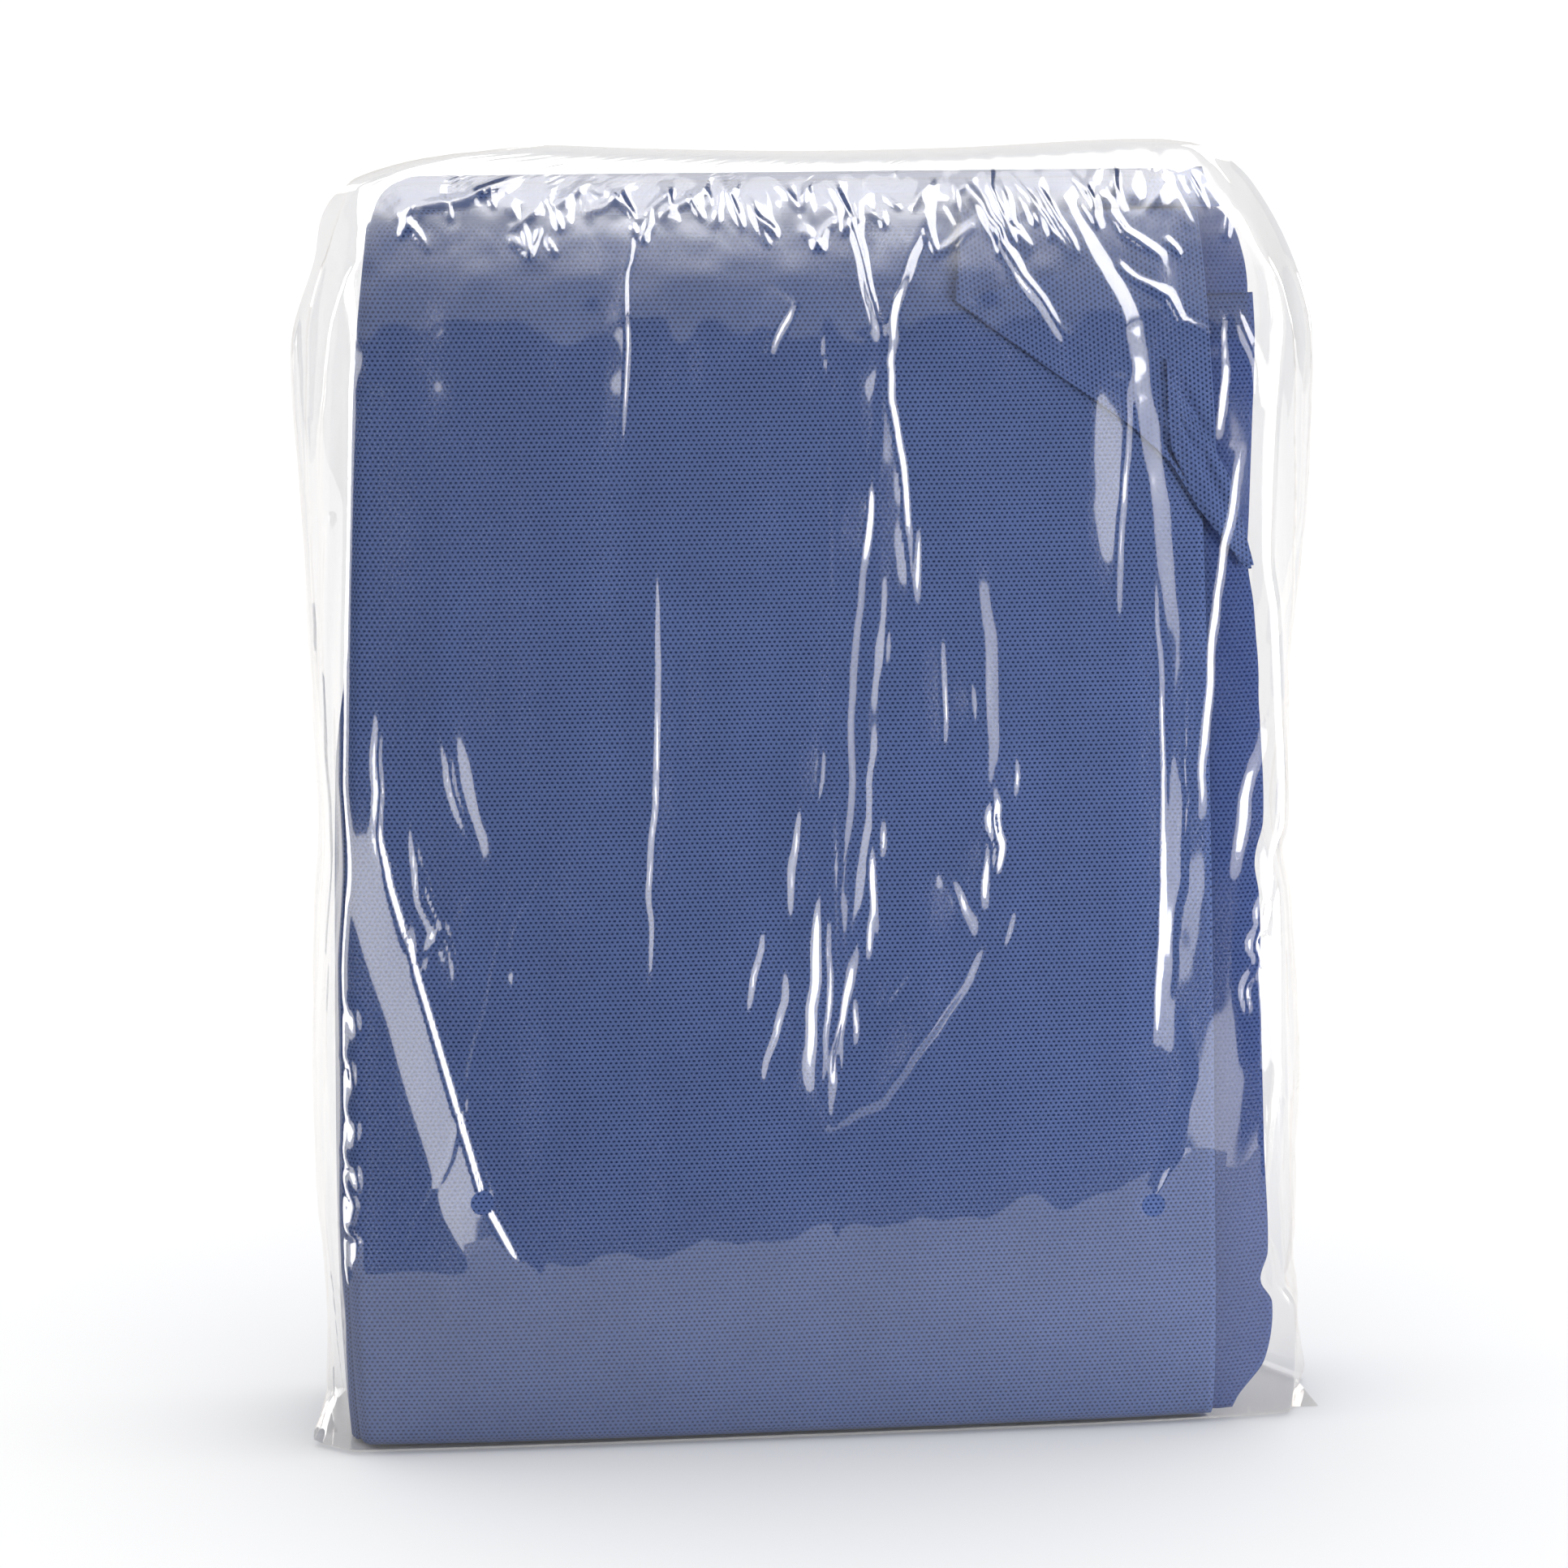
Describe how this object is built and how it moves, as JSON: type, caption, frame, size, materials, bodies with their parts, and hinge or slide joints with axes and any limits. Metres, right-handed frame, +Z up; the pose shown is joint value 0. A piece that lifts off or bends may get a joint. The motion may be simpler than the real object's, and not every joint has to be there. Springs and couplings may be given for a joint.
{
  "type": "folded exam gown in a clear bag",
  "caption": "Blue nonwoven exam gown folded flat into an upright rectangular pack, a sleeve folded over its upper right corner, in a clear film bag that stands on its bottom edge.",
  "frame": {"origin": "on the surface the pack stands on, under the middle of its bounding box", "axes": "+Z up along the pack's height, +Y to the back through its thickness, +X to the right of its front, which faces -Y"},
  "size_m": [0.332, 0.1092, 0.4105],
  "materials": {
    "gown cloth": "matt blue bonded nonwoven with rows of small bond dots",
    "inner cloth": "matt blue bonded nonwoven, seen at the folds' edges",
    "clear film": "clear glossy film, loosely wrinkled"
  },
  "bodies": {
    "root": {"hidden_layers": "inner cloth", "front_panel": "gown cloth", "back_panel": "gown cloth", "under_panel": "gown cloth", "sleeve_fold": "gown cloth", "shoulder_layer": "gown cloth", "neck_corner": "gown cloth", "clear_bag": "clear film"}
  },
  "joints": []
}
